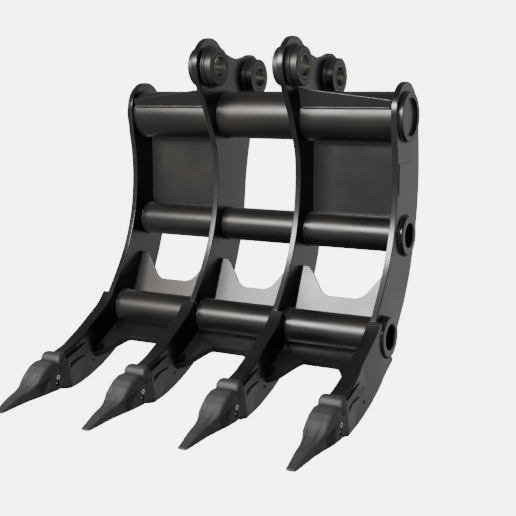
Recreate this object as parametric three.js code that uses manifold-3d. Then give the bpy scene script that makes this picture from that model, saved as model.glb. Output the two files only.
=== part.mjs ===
// A pin-on tine rake for an excavator: four curved tines on three cross tubes, with
// replaceable tooth points on weld-on adapters.
// Millimetres. X runs along the cross tubes, Y from the tooth tips to the back, Z up.
// The origin is the middle of the stick pin's axis, between the two ears.
import * as THREE from "three";
import { mergeVertices } from "three/addons/utils/BufferGeometryUtils.js";
import Module from "manifold-3d";

const wasm = await Module();
wasm.setup();

// Driving dimensions
const GAP = 0.3; // between pieces that touch
const CUT_REACH = 50; // how far a cutter reaches past the middle of a tine, on both sides
const TINE_PITCH = 390; // from one outer tine plate to the next tine
const TOOTH_PITCH = 394; // the shanks and teeth stand a little wider than the plates
const EAR_PLATE_X = 185; // middle of an inner tine plate, set in a little for the stick
const PLATE_HALF = 12; // half the thickness of a tine plate
const SHANK_HALF = 26; // half the thickness of a shank
const CHEEK_HALF = 32; // half the width over an adapter's cheeks
const COLLAR_HALF = 48; // half the width of an adapter's collar
const CURVE_STEPS = 5; // straight steps in each stretch of a curve
const ROUND_STEPS = 24; // straight steps round a tube or a boss
const FINE_ROUND_STEPS = 72; // straight steps of the room cut round a tube
const TINE_CURVE_STEPS = 4; // straight steps in each stretch of a tine's outline
const SMALL_ROUND_STEPS = 16; // straight steps round a tooth lock

const PIN_RADIUS = 40;
const BUSHING_RADIUS = 50;
const BOSS_RADIUS = 76;
const BOSS_FLANGE_RADIUS = 81;
const BOSS_HEIGHT = 40;
const BOSS_CHAMFER = 4;

// Places in the side view, as [y, z]
const STICK_PIN = [0, 0];
const LINK_PIN = [334, -36];
const FRONT_LOBE_RADIUS = 112;
const REAR_LOBE_RADIUS = 94;
const HEAD = [135, -172];
const HEAD_RADIUS = 113;
const TIP = [-831, -1243];
const JOINT_FRONT = [-145, -920];
const JOINT_REAR = [-12, -1084];
const TOOTH_PITCH_ANGLE = THREE.MathUtils.degToRad(13); // nose axis above level, towards the back

const TOP_TUBE = { at: [137, -190], radius: 95, bore: 64 };
const MID_TUBE = { at: [149, -639], radius: 68, bore: 54 };
const LOW_TUBE = { at: [-63, -991], radius: 69, bore: 54 };
const TUBES = [TOP_TUBE, MID_TUBE, LOW_TUBE];

const TINES = [
  { name: "left_outer", plateX: -1.5 * TINE_PITCH, shankX: -1.5 * TOOTH_PITCH, ear: false },
  { name: "left_inner", plateX: -EAR_PLATE_X, shankX: -0.5 * TOOTH_PITCH, ear: true },
  { name: "right_inner", plateX: EAR_PLATE_X, shankX: 0.5 * TOOTH_PITCH, ear: true },
  { name: "right_outer", plateX: 1.5 * TINE_PITCH, shankX: 1.5 * TOOTH_PITCH, ear: false },
];
const OUTER_FACE_X = 1.5 * TINE_PITCH + PLATE_HALF;
const TUBE_STANDOUT = 16; // how far a tube's end stands out of the outer tine plate
const LOW_RING_STANDOUT = 28;

function painted(color, roughness) {
  return new THREE.MeshStandardMaterial({ color, roughness, metalness: 0.55 });
}
const FRAME_PAINT = painted(0x3a3a3c, 0.5);
const TUBE_PAINT = painted(0x424041, 0.45);
const CAST_PAINT = painted(0x363638, 0.55);
const BARE_STEEL = new THREE.MeshStandardMaterial({ color: 0x77757a, roughness: 0.35, metalness: 0.9 });

const part = new THREE.Group();

// Solids

function solidOf(geometry) {
  const bare = geometry.index ? geometry.toNonIndexed() : geometry.clone();
  bare.deleteAttribute("normal");
  bare.deleteAttribute("uv");
  const merged = mergeVertices(bare, 1e-4);
  return new wasm.Manifold(
    new wasm.Mesh({
      numProp: 3,
      vertProperties: merged.attributes.position.array,
      triVerts: new Uint32Array(merged.index.array),
    }),
  );
}

function geometryOf(solid) {
  const mesh = solid.getMesh();
  const indexed = new THREE.BufferGeometry();
  indexed.setAttribute("position", new THREE.BufferAttribute(new Float32Array(mesh.vertProperties), 3));
  indexed.setIndex(new THREE.BufferAttribute(new Uint32Array(mesh.triVerts), 1));
  const flat = indexed.toNonIndexed();
  flat.computeVertexNormals();
  return flat;
}

// Adds a solid to the part, or to a group of it, as a named mesh.
function add(name, solid, material, parent = part) {
  const mesh = new THREE.Mesh(geometryOf(solid), material);
  mesh.name = name;
  parent.add(mesh);
}

// Turns an extrusion so that a shape's own axes lie along Y and Z, and its thickness along X.
const ALONG_X = new THREE.Matrix4().makeBasis(
  new THREE.Vector3(0, 1, 0),
  new THREE.Vector3(0, 0, 1),
  new THREE.Vector3(1, 0, 0),
);

function slab(shape, fromX, toX, curveSegments = CURVE_STEPS) {
  const depth = toX - fromX;
  const geometry = new THREE.ExtrudeGeometry(shape, { depth, bevelEnabled: false, curveSegments });
  geometry.applyMatrix4(ALONG_X);
  geometry.translate(fromX, 0, 0);
  return solidOf(geometry);
}

// A shape drawn in plan, as [x, y], with its thickness along Z.
function sheet(shape, fromZ, toZ) {
  const geometry = new THREE.ExtrudeGeometry(shape, { depth: toZ - fromZ, bevelEnabled: false });
  geometry.translate(0, 0, fromZ);
  return solidOf(geometry);
}

function rod([y, z], radius, fromX, toX, steps = ROUND_STEPS) {
  const geometry = new THREE.CylinderGeometry(radius, radius, toX - fromX, steps);
  geometry.rotateZ(-Math.PI / 2);
  geometry.translate((fromX + toX) / 2, y, z);
  return solidOf(geometry);
}

// A round piece along X from a closed profile of [radius, x].
function turned([y, z], profile, steps = ROUND_STEPS) {
  const points = [...profile, profile[0]].map(([radius, x]) => new THREE.Vector2(radius, x));
  const geometry = new THREE.LatheGeometry(points, steps);
  geometry.rotateZ(-Math.PI / 2);
  geometry.translate(0, y, z);
  return solidOf(geometry);
}

const polygon = (points) => new THREE.Shape(points.map(([a, b]) => new THREE.Vector2(a, b)));
const vectors = (points) => points.map(([a, b]) => new THREE.Vector2(a, b));
const between = (a, b) => [Math.min(a, b), Math.max(a, b)];
const mirrored = (points) => [...points, ...points.map(([a, b]) => [-a, b]).reverse()];

// The solid with room for a cross tube cut out of it, over the whole width.
function clearOfTube(solid, { at, radius }) {
  const half = OUTER_FACE_X + CUT_REACH;
  return solid.subtract(rod(at, radius + GAP, -half, half, FINE_ROUND_STEPS));
}

// Side view of the tines

const jointRun = new THREE.Vector2(...JOINT_REAR).sub(new THREE.Vector2(...JOINT_FRONT)).normalize();
const jointUp = new THREE.Vector2(-jointRun.y, jointRun.x);

const FRONT_EDGE = [[-66, -812], [-9, -712], [33, -590], [50, -460], [46, -350]];
const REAR_EDGE = [[272, -592], [231, -745], [170, -875], [107, -962], [45, -1030]];

const onCircle = ([y, z], radius, angle) => [y + radius * Math.cos(angle), z + radius * Math.sin(angle)];

function plateEnd(corner) {
  return [corner[0] + jointUp.x * GAP, corner[1] + jointUp.y * GAP];
}

// The front edge rises from the shank, and the head is a round lobe over the top tube.
function outerOutline() {
  const shape = new THREE.Shape();
  const headFront = Math.PI * 1.05;
  const headRear = Math.PI / 12;
  const onHead = (angle) => onCircle(HEAD, HEAD_RADIUS, angle);
  shape.moveTo(...plateEnd(JOINT_FRONT));
  shape.splineThru(vectors([...FRONT_EDGE, [31, -265], onHead(headFront)]));
  shape.absarc(...HEAD, HEAD_RADIUS, headFront, headRear, true);
  shape.splineThru(vectors([[272, -245], [287, -380], [286, -490], ...REAR_EDGE, plateEnd(JOINT_REAR)]));
  return shape;
}

// An inner tine goes on up into an ear with a lobe round each pin.
function earOutline() {
  const shape = new THREE.Shape();
  const frontLow = Math.PI * 1.24;
  const frontHigh = Math.PI * 0.22;
  const rearHigh = Math.PI * 0.63;
  const rearLow = -Math.PI * 0.12;
  const onRear = (angle) => onCircle(LINK_PIN, REAR_LOBE_RADIUS, angle);
  const onFront = (angle) => onCircle(STICK_PIN, FRONT_LOBE_RADIUS, angle);
  shape.moveTo(...plateEnd(JOINT_FRONT));
  shape.splineThru(vectors([...FRONT_EDGE, [21, -272], [-23, -177], onFront(frontLow)]));
  shape.absarc(...STICK_PIN, FRONT_LOBE_RADIUS, frontLow, frontHigh, true);
  shape.splineThru(vectors([[122, 55], [204, 38], [265, 44], onRear(rearHigh)]));
  shape.absarc(...LINK_PIN, REAR_LOBE_RADIUS, rearHigh, rearLow, true);
  shape.splineThru(vectors([[372, -170], [325, -300], [292, -440], ...REAR_EDGE, plateEnd(JOINT_REAR)]));
  return shape;
}

const SHANK_PROUD = 7;
const SHANK_FRONT = [[-191, -958], [-271, -1006], [-351, -1051], [-411, -1080]];
const SHANK_UNDER = [
  [-391, -1249], [-331, -1237], [-271, -1219], [-211, -1197], [-143, -1164], [-84, -1127],
];
const SHANK_NOSE = [[-482.4, -1099.2], [-447, -1252.9]]; // square to the nose axis, behind the collar

function shankOutline() {
  const shape = new THREE.Shape();
  const front = [JOINT_FRONT[0] - jointRun.x * SHANK_PROUD, JOINT_FRONT[1] - jointRun.y * SHANK_PROUD];
  const rear = [JOINT_REAR[0] + jointRun.x * SHANK_PROUD, JOINT_REAR[1] + jointRun.y * SHANK_PROUD];
  shape.moveTo(...front);
  shape.splineThru(vectors([...SHANK_FRONT, SHANK_NOSE[0]]));
  shape.lineTo(...SHANK_NOSE[1]);
  shape.splineThru(vectors([...SHANK_UNDER, rear]));
  return shape;
}

// Tine plates, with a hole for each cross tube and for each ear's bushings
for (const { name, plateX, ear } of TINES) {
  const outline = ear ? earOutline() : outerOutline();
  const cut = [plateX - CUT_REACH, plateX + CUT_REACH];
  let plate = slab(outline, plateX - PLATE_HALF, plateX + PLATE_HALF, TINE_CURVE_STEPS);
  for (const { at, radius } of TUBES) {
    plate = plate.subtract(rod(at, radius + GAP, ...cut));
  }
  if (ear) {
    for (const pin of [STICK_PIN, LINK_PIN]) {
      plate = plate.subtract(rod(pin, BUSHING_RADIUS + GAP, ...cut));
    }
  }
  add(`tine_plate_${name}`, plate, FRAME_PAINT);
}

// Shanks, thicker than the plates, with the low tube and its end ring let in
const LOW_RING_RADIUS = 79;
for (const { name, shankX } of TINES) {
  let shank = slab(shankOutline(), shankX - SHANK_HALF, shankX + SHANK_HALF, TINE_CURVE_STEPS);
  const cut = [shankX - CUT_REACH, shankX + CUT_REACH];
  shank = shank.subtract(rod(LOW_TUBE.at, LOW_TUBE.radius + GAP, ...cut));
  for (const side of [-1, 1]) {
    const ends = between(side * (OUTER_FACE_X - GAP), side * (OUTER_FACE_X + CUT_REACH));
    shank = shank.subtract(rod(LOW_TUBE.at, LOW_RING_RADIUS + GAP, ...ends));
  }
  add(`shank_${name}`, shank, FRAME_PAINT);
}

// Cross tubes
const TOP_END_X = OUTER_FACE_X + TUBE_STANDOUT;
const END_DISC_RADIUS = 71;
const END_DISC_DEPTH = 12;
const END_DISC_THICK = 8;
const discSeat = TOP_END_X - END_DISC_DEPTH - END_DISC_THICK;
add(
  "top_tube",
  turned(TOP_TUBE.at, [
    [TOP_TUBE.bore, -discSeat],
    [END_DISC_RADIUS, -discSeat],
    [END_DISC_RADIUS, -TOP_END_X],
    [TOP_TUBE.radius, -TOP_END_X],
    [TOP_TUBE.radius, TOP_END_X],
    [END_DISC_RADIUS, TOP_END_X],
    [END_DISC_RADIUS, discSeat],
    [TOP_TUBE.bore, discSeat],
  ]),
  TUBE_PAINT,
);
for (const [name, { at, radius, bore }] of [["mid_tube", MID_TUBE], ["lower_tube", LOW_TUBE]]) {
  const end = OUTER_FACE_X;
  add(name, turned(at, [[bore, -end], [radius, -end], [radius, end], [bore, end]]), TUBE_PAINT);
}
for (const [side, sign] of [["left", -1], ["right", 1]]) {
  const inner = discSeat + GAP;
  const outer = TOP_END_X - END_DISC_DEPTH;
  const ends = between(sign * inner, sign * outer);
  add(`top_tube_end_disc_${side}`, rod(TOP_TUBE.at, END_DISC_RADIUS - GAP, ...ends), CAST_PAINT);
}

// Rings on the open ends of the two smaller tubes
const RING_BORE = 46;
const RING_CHAMFER = 3;
function endRing(name, at, radius, standout) {
  for (const [side, sign] of [["left", -1], ["right", 1]]) {
    const root = sign * (OUTER_FACE_X + GAP);
    const face = sign * (OUTER_FACE_X + standout);
    const profile = [
      [RING_BORE, root],
      [radius, root],
      [radius, face - sign * RING_CHAMFER],
      [radius - RING_CHAMFER, face],
      [RING_BORE, face],
    ];
    add(`${name}_${side}`, turned(at, sign > 0 ? profile : profile.reverse()), CAST_PAINT);
  }
}
endRing("mid_tube_end_ring", MID_TUBE.at, 78, TUBE_STANDOUT);
endRing("lower_tube_end_ring", LOW_TUBE.at, LOW_RING_RADIUS, LOW_RING_STANDOUT);

// Ear bosses on both sides of each ear, and the bushings through them
for (const [side, sign] of [["left", -1], ["right", 1]]) {
  const middle = sign * EAR_PLATE_X;
  for (const [pinName, pin] of [["stick", STICK_PIN], ["link", LINK_PIN]]) {
    for (const out of [-1, 1]) {
      const root = middle + out * (PLATE_HALF + GAP);
      const step = middle + out * (PLATE_HALF + 10);
      const face = middle + out * (PLATE_HALF + BOSS_HEIGHT);
      const profile = [
        [BUSHING_RADIUS + GAP, root],
        [BOSS_FLANGE_RADIUS, root],
        [BOSS_FLANGE_RADIUS, step],
        [BOSS_RADIUS, step],
        [BOSS_RADIUS, face - out * BOSS_CHAMFER],
        [BOSS_RADIUS - BOSS_CHAMFER, face],
        [BUSHING_RADIUS + GAP, face],
      ];
      const place = out === sign ? "outside" : "inside";
      const boss = turned(pin, out > 0 ? profile : profile.reverse());
      add(`${pinName}_boss_${side}_${place}`, boss, CAST_PAINT);
    }
    const half = PLATE_HALF + BOSS_HEIGHT;
    const bushing = turned(pin, [
      [PIN_RADIUS, middle - half],
      [BUSHING_RADIUS, middle - half],
      [BUSHING_RADIUS, middle + half],
      [PIN_RADIUS, middle + half],
    ]);
    add(`${pinName}_bushing_${side}`, bushing, BARE_STEEL);
  }
}

// Bays between the tines: the left, the middle and the right one
const BAYS = [
  { name: "left", from: 0, to: 1 },
  { name: "middle", from: 1, to: 2 },
  { name: "right", from: 2, to: 3 },
].map(({ name, from, to }) => ({
  name,
  plateFrom: TINES[from].plateX + PLATE_HALF + GAP,
  plateTo: TINES[to].plateX - PLATE_HALF - GAP,
  shankFrom: TINES[from].shankX + SHANK_HALF + GAP,
  shankTo: TINES[to].shankX - SHANK_HALF - GAP,
}));

const OUTER_BAYS = BAYS.filter((bay) => bay.name !== "middle");

// Tapered gussets on top of the top tube, tall at the ear and low at the outer tine
const GUSSET = { y: 42, thick: 12, earTop: -82, outerTop: -126, foot: -157, bottom: -165, lean: 0.26 };
const leanForward = new THREE.Matrix4().set(
  1, 0, 0, 0,
  0, 1, -GUSSET.lean, GUSSET.lean * GUSSET.foot,
  0, 0, 1, 0,
  0, 0, 0, 1,
);
for (const { name, plateFrom, plateTo } of OUTER_BAYS) {
  const leftTop = name === "left" ? GUSSET.outerTop : GUSSET.earTop;
  const rightTop = name === "left" ? GUSSET.earTop : GUSSET.outerTop;
  const outline = polygon([
    [plateFrom, GUSSET.bottom],
    [plateTo, GUSSET.bottom],
    [plateTo, rightTop],
    [plateFrom, leftTop],
  ]);
  const geometry = new THREE.ExtrudeGeometry(outline, { depth: GUSSET.thick, bevelEnabled: false });
  geometry.rotateX(Math.PI / 2);
  geometry.translate(0, GUSSET.y + GUSSET.thick, 0);
  geometry.applyMatrix4(leanForward);
  add(`top_gusset_${name}`, clearOfTube(solidOf(geometry), TOP_TUBE), FRAME_PAINT);
}

// Flat back plates of the two outer bays, from the top tube down to the mid tube
const BACK_PLATE = { y: 168, thick: 12 };
for (const { name, plateFrom, plateTo } of OUTER_BAYS) {
  const { y, thick } = BACK_PLATE;
  const low = MID_TUBE.at[1];
  const high = TOP_TUBE.at[1];
  const outline = polygon([[y, low], [y + thick, low], [y + thick, high], [y, high]]);
  const plate = clearOfTube(slab(outline, plateFrom, plateTo), TOP_TUBE);
  add(`upper_back_plate_${name}`, clearOfTube(plate, MID_TUBE), FRAME_PAINT);
}

// Places a plan of [x, distance] on a sloping sheet: distance runs from root towards end, in [y, z].
function slopingPlate(plan, root, end, depth) {
  const curveSegments = CURVE_STEPS;
  const geometry = new THREE.ExtrudeGeometry(plan, { depth, bevelEnabled: false, curveSegments });
  const run = new THREE.Vector3(0, end[0] - root[0], end[1] - root[1]).normalize();
  const across = new THREE.Vector3(1, 0, 0);
  const normal = new THREE.Vector3().crossVectors(across, run);
  geometry.applyMatrix4(new THREE.Matrix4().makeBasis(across, run, normal));
  geometry.translate(0, root[0], root[1]);
  return solidOf(geometry);
}

// Half of a plate's scalloped edge, as [distance in from the tine, distance along the plate].
const fromLeft = (points, edge) => vectors(points.map(([a, b]) => [edge + a, b]));
const fromRight = (points, edge) => vectors(points.map(([a, b]) => [edge - a, b]));

// A plan from one tine to the next, straight along the root and scalloped along the other edge.
function scallopedPlan(from, to, [high, ...horn]) {
  const plan = new THREE.Shape();
  const top = [high[0], high[1]];
  const foot = [...horn].reverse();
  plan.moveTo(from, 0);
  plan.lineTo(to, 0);
  plan.lineTo(to, top[1]);
  plan.lineTo(to - top[0], top[1]);
  plan.splineThru(fromRight(horn, to));
  plan.lineTo(from + foot[0][0], foot[0][1]);
  plan.splineThru(fromLeft([...foot.slice(1), top], from));
  plan.lineTo(from, top[1]);
  return plan;
}

// Lower back plates rise from the lower tube, with a horn up each tine and a wide dip between
const LOWER_BACK = { root: [-2, -1004.4], end: [93, -782], thick: 12 };
const BACK_HORN = [[24, 241.6], [45, 219.6], [70, 185.6], [92, 153.6], [110, 138.6], [132, 130.6]];
for (const { name, plateFrom, plateTo } of BAYS) {
  const { root, end, thick } = LOWER_BACK;
  const plan = scallopedPlan(plateFrom, plateTo, BACK_HORN);
  let plate = clearOfTube(slopingPlate(plan, root, end, thick), LOW_TUBE);
  for (const { shankX } of TINES) {
    const room = [shankX - SHANK_HALF - GAP, shankX + SHANK_HALF + GAP];
    plate = plate.subtract(slab(shankOutline(), ...room));
  }
  add(`lower_back_plate_${name}`, plate, FRAME_PAINT);
}

// Lower front plates run down from the lower tube, with a scalloped lip and a horn along each shank
const LOWER_FRONT = { root: [-109, -1039], end: [-295, -1140], thick: 26 };
const LIP_HORN = [[1, 211], [38, 184], [70, 133], [90, 103], [104, 92]];
const cheekRoom = polygon([[-330, -1190], [-224, -1190], [-224, -1050], [-330, -1050]]);
for (const { name, shankFrom, shankTo } of BAYS) {
  const { root, end, thick } = LOWER_FRONT;
  const plan = scallopedPlan(shankFrom, shankTo, LIP_HORN);
  let plate = clearOfTube(slopingPlate(plan, root, end, thick), LOW_TUBE);
  for (const { shankX } of TINES) {
    plate = plate.subtract(slab(cheekRoom, shankX - CHEEK_HALF - GAP, shankX + CHEEK_HALF + GAP));
  }
  add(`lower_front_plate_${name}`, plate, FRAME_PAINT);
}

// A blank raised plate on the right outer tine
const ID_PLATE = { y: [60, 205], z: [-478, -360], thick: 3 };
const [idFront, idRear] = ID_PLATE.y;
const [idLow, idHigh] = ID_PLATE.z;
const idOutline = polygon([[idFront, idLow], [idRear, idLow], [idRear, idHigh], [idFront, idHigh]]);
const idRoot = OUTER_FACE_X + GAP;
add("blank_id_plate", slab(idOutline, idRoot, idRoot + ID_PLATE.thick), CAST_PAINT);

// Tooth points and their adapters, drawn about the nose axis: [u, v] with u from the tip towards the
// back and v up, square to it.

const POINT_REAR = 312;
const COLLAR_REAR = 371.7;
const WIDE = 60; // reach of the blanks on both sides of the middle
const TALL = 120; // and above and below the nose axis

// A tapered block from [u, half height, half width] at the back to the same at the front.
function wedge(middleV, [backU, backHigh, backWide], [frontU, frontHigh, frontWide]) {
  const side = polygon([
    [backU, middleV - backHigh],
    [backU, middleV + backHigh],
    [frontU, middleV + frontHigh],
    [frontU, middleV - frontHigh],
  ]);
  const plan = polygon([[-backWide, backU], [backWide, backU], [frontWide, frontU], [-frontWide, frontU]]);
  return slab(side, -WIDE, WIDE).intersect(sheet(plan, -TALL, TALL));
}

const NOSE = { middle: -5, back: [POINT_REAR + 10, 35, 26], front: [196, 17, 13] };
const NOSE_PLAY = 1.2;

function pocket() {
  const grown = ([u, high, wide], alongU) => [u + alongU, high + NOSE_PLAY, wide + NOSE_PLAY];
  return wedge(NOSE.middle, grown(NOSE.back, 4), grown(NOSE.front, -4));
}

const LOCK = { at: [296, -3], radius: 10, inner: 34, outer: 47, play: 1, socket: 9 };
const SIDE_POCKET = { at: [284, -24], radius: 10, inner: 41 };

const POINT_HALF_PLAN = [
  [17, 0], [20, 30], [23, 60], [26, 100], [27.5, 125], [33, 150],
  [40, 172], [46.5, 192], [48.5, 245], [48.5, 280], [47, POINT_REAR],
];
const POINT_HALF_SECTION = [[52, -70], [52, 30], [42, 62], [38, 80]]; // as [x, v]
const HOLLOW = {
  radius: 26,
  length: 120,
  x: 60,
  at: [198, -8],
  rise: THREE.MathUtils.degToRad(-7),
  splay: THREE.MathUtils.degToRad(12),
};

function toothPoint() {
  const side = new THREE.Shape();
  side.moveTo(0, 3);
  side.splineThru(vectors([[40, 9], [76, 16], [108, 18], [140, 20], [165, 25], [190, 36]]));
  side.splineThru(vectors([[216, 51], [246, 63], [278, 66], [POINT_REAR, 58]]));
  side.lineTo(POINT_REAR, -62);
  side.splineThru(vectors([[281, -57], [245, -49], [195, -40], [109, -26], [20, -11], [0, -5]]));
  let point = slab(side, -WIDE, WIDE).intersect(sheet(polygon(mirrored(POINT_HALF_PLAN)), -TALL, TALL));
  const section = new THREE.ExtrudeGeometry(polygon(mirrored(POINT_HALF_SECTION)), {
    depth: 2 * POINT_REAR,
    bevelEnabled: false,
  });
  section.rotateX(Math.PI / 2);
  section.translate(0, 1.5 * POINT_REAR, 0);
  point = point.intersect(solidOf(section));
  for (const out of [-1, 1]) {
    const hollow = new THREE.CylinderGeometry(HOLLOW.radius, HOLLOW.radius, HOLLOW.length, 12);
    hollow.rotateX(HOLLOW.rise);
    hollow.rotateZ(-out * HOLLOW.splay);
    hollow.translate(out * HOLLOW.x, ...HOLLOW.at);
    point = point.subtract(solidOf(hollow));
  }
  point = point.subtract(pocket());
  point = point.subtract(
    rod(LOCK.at, LOCK.radius + LOCK.play, LOCK.inner - LOCK.play / 2, WIDE, SMALL_ROUND_STEPS),
  );
  return point.subtract(
    rod(SIDE_POCKET.at, SIDE_POCKET.radius, SIDE_POCKET.inner, WIDE, SMALL_ROUND_STEPS),
  );
}

// The lock turns in the point's side wall; its square socket takes the key.
function toothLock() {
  const socket = new THREE.BoxGeometry(LOCK.outer - LOCK.inner, LOCK.socket, LOCK.socket);
  socket.translate(LOCK.outer, ...LOCK.at);
  const body = rod(LOCK.at, LOCK.radius, LOCK.inner, LOCK.outer, SMALL_ROUND_STEPS);
  return body.subtract(solidOf(socket));
}

const CHEEK = [
  [340, 134], [420, 157], [480, 187], [514, 206], [600, 150],
  [566, 118], [505, 98], [472, 34], [445, 12], [374, 8],
];
const CHEEK_SLOTS = [
  [[360, 118], [360, 132], [474, 158], [474, 153]],
  [[382, 78], [382, 94], [488, 104], [488, 99]],
];

function adapter() {
  const ridge = new THREE.Shape();
  ridge.moveTo(POINT_REAR + GAP, -60);
  ridge.lineTo(POINT_REAR + GAP, 52);
  ridge.splineThru(vectors([[322, 65], [342, 73], [360, 70], [COLLAR_REAR, 61]]));
  ridge.lineTo(COLLAR_REAR, -96);
  ridge.splineThru(vectors([[345, -85], [POINT_REAR + GAP, -66]]));
  const collarPlan = [
    [42, POINT_REAR],
    [COLLAR_HALF, 325],
    [COLLAR_HALF, 350],
    [CHEEK_HALF + 1, COLLAR_REAR + 1],
  ];
  let body = slab(ridge, -WIDE, WIDE).intersect(sheet(polygon(mirrored(collarPlan)), -TALL, TALL));
  body = body.add(wedge(NOSE.middle, NOSE.back, NOSE.front));
  // The cheeks are drawn level, from the tip, so they are turned into the nose's own frame.
  for (const out of [-1, 1]) {
    const [fromX, toX] = between(out * (SHANK_HALF + GAP), out * CHEEK_HALF);
    let cheek = slab(polygon(CHEEK), fromX, toX);
    for (const slot of CHEEK_SLOTS) {
      cheek = cheek.subtract(slab(polygon(slot), fromX - 1, toX + 1));
    }
    body = body.add(cheek.rotate([-THREE.MathUtils.radToDeg(TOOTH_PITCH_ANGLE), 0, 0]));
  }
  return body;
}

for (const { name, shankX } of TINES) {
  const nose = new THREE.Group();
  nose.position.set(shankX, ...TIP);
  nose.rotation.x = TOOTH_PITCH_ANGLE;
  part.add(nose);
  add(`adapter_${name}`, adapter(), CAST_PAINT, nose);
  add(`tooth_point_${name}`, toothPoint(), CAST_PAINT, nose);
  add(`tooth_lock_${name}`, toothLock(), BARE_STEEL, nose);
}

export default part;
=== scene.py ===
"""The looks of the tine rake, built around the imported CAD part.

The scene is in metres and every shape here in millimetres. X runs along the tubes, Y to the back and Z up,
from the middle of the stick pin. A pair of numbers is a point (y, z) in a tine's own plane.
"""

import math
import random
from collections import namedtuple

import bmesh
import bpy
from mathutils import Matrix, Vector


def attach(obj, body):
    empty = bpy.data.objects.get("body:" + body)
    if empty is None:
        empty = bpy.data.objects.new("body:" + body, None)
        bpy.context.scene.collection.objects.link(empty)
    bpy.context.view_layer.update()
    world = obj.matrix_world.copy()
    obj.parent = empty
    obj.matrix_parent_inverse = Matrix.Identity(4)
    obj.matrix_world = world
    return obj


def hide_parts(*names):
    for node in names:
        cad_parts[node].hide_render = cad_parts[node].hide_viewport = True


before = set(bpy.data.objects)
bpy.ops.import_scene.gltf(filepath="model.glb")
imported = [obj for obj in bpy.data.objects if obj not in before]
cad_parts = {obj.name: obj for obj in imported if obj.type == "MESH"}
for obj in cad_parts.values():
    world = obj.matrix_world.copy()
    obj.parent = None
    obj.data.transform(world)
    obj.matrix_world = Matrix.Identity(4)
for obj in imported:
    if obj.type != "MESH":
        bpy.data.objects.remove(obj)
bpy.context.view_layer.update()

MM = 0.001
ROOT = "rake_frame"
rng = random.Random(7)

# ---------------------------------------------------------------- shared sizes

Tine = namedtuple("Tine", "name plate_x shank_x ear")
Tube = namedtuple("Tube", "at radius bore")

GAP = 0.3  # between pieces that touch
SIDES = (("left", -1), ("right", 1))

STICK_PIN = (0, 0)
LINK_PIN = (334, -36)
TOP_TUBE = Tube((137, -190), 95, 64)
MID_TUBE = Tube((149, -639), 68, 54)
LOW_TUBE = Tube((-63, -991), 69, 54)

PLATE_HALF = 12  # half the thickness of a tine plate
SHANK_HALF = 26  # half the thickness of a shank
OUTER_FACE = 597  # outer face of the outer tine plates
EAR_X = 185  # middle of an ear's plate

JOINT_FRONT = Vector((-145, -920))  # where a shank meets its tine plate, at the front and the rear edge
JOINT_REAR = Vector((-12, -1084))
TIP = (-831, -1243)  # the tooth points' tips
NOSE_ANGLE = math.radians(13)  # the teeth's axes above level, towards the back

TINES = [
    Tine("left_outer", -585, -591, False),
    Tine("left_inner", -EAR_X, -197, True),
    Tine("right_inner", EAR_X, 197, True),
    Tine("right_outer", 585, 591, False),
]
BAYS = [
    ("left", TINES[0], TINES[1]),
    ("middle", TINES[1], TINES[2]),
    ("right", TINES[2], TINES[3]),
]

# ---------------------------------------------------------------- outlines

FULL_TURN = 2 * math.pi


def catmull_rom(a, b, c, d, t):
    """The value at t on the way from b to c, along a smooth curve through all four."""
    return b + 0.5 * t * (c - a + t * (2 * a - 5 * b + 4 * c - d + t * (3 * (b - c) + d - a)))


def spline(points, steps=7):
    """Points along a smooth curve through the ones given, the first one left out."""
    made = []
    last = len(points) - 1
    for i in range(last):
        around = points[max(i - 1, 0)], points[i], points[i + 1], points[min(i + 2, last)]
        for k in range(1, steps + 1):
            made.append(tuple(catmull_rom(*values, k / steps) for values in zip(*around)))
    return made


def circle(centre, radius, steps=72, start=0.0, end=FULL_TURN):
    """Points along an arc, with both of its ends unless it goes all the way round."""
    whole = abs(end - start) >= FULL_TURN - 1e-6
    angles = [start + (end - start) * k / steps for k in range(steps if whole else steps + 1)]
    return [(centre[0] + radius * math.cos(a), centre[1] + radius * math.sin(a)) for a in angles]


HEAD = (135, -172)
HEAD_RADIUS = 113
FRONT_LOBE_RADIUS = 112
REAR_LOBE_RADIUS = 94
SHANK_PROUD = 7  # how far a shank's ends stand out past the tine plate's edges
FRONT_EDGE = [(-66, -812), (-9, -712), (33, -590), (50, -460), (46, -350)]
REAR_EDGE = [(272, -592), (231, -745), (170, -875), (107, -962), (45, -1030)]

joint_run = (JOINT_REAR - JOINT_FRONT).normalized()
joint_up = Vector((-joint_run.y, joint_run.x))


def bore_arc(towards):
    """The low tube's bore where it crosses the joint, from the joint's rear side to its front side."""
    centre = Vector(LOW_TUBE.at)
    foot = JOINT_FRONT + joint_run * (centre - JOINT_FRONT).dot(joint_run)
    half = math.sqrt(LOW_TUBE.bore**2 - (centre - foot).length_squared)
    rear, front = foot + joint_run * half - centre, foot - joint_run * half - centre
    start, end = math.atan2(rear.y, rear.x), math.atan2(front.y, front.x)
    if rear.cross(towards) < 0:
        end -= FULL_TURN if end > start else 0
    else:
        end += FULL_TURN if end < start else 0
    return circle(LOW_TUBE.at, LOW_TUBE.bore, 30, start, end)


def outer_outline():
    """An outer tine plate: a round head over a curved blade."""
    head = circle(HEAD, HEAD_RADIUS, 40, math.pi * 1.05, math.pi / 12)
    front = [tuple(JOINT_FRONT)] + FRONT_EDGE + [(31, -265), head[0]]
    rear = [head[-1], (272, -245), (287, -380), (286, -490)] + REAR_EDGE + [tuple(JOINT_REAR)]
    return [front[0]] + spline(front) + head[1:] + spline(rear) + bore_arc(joint_up)


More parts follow.
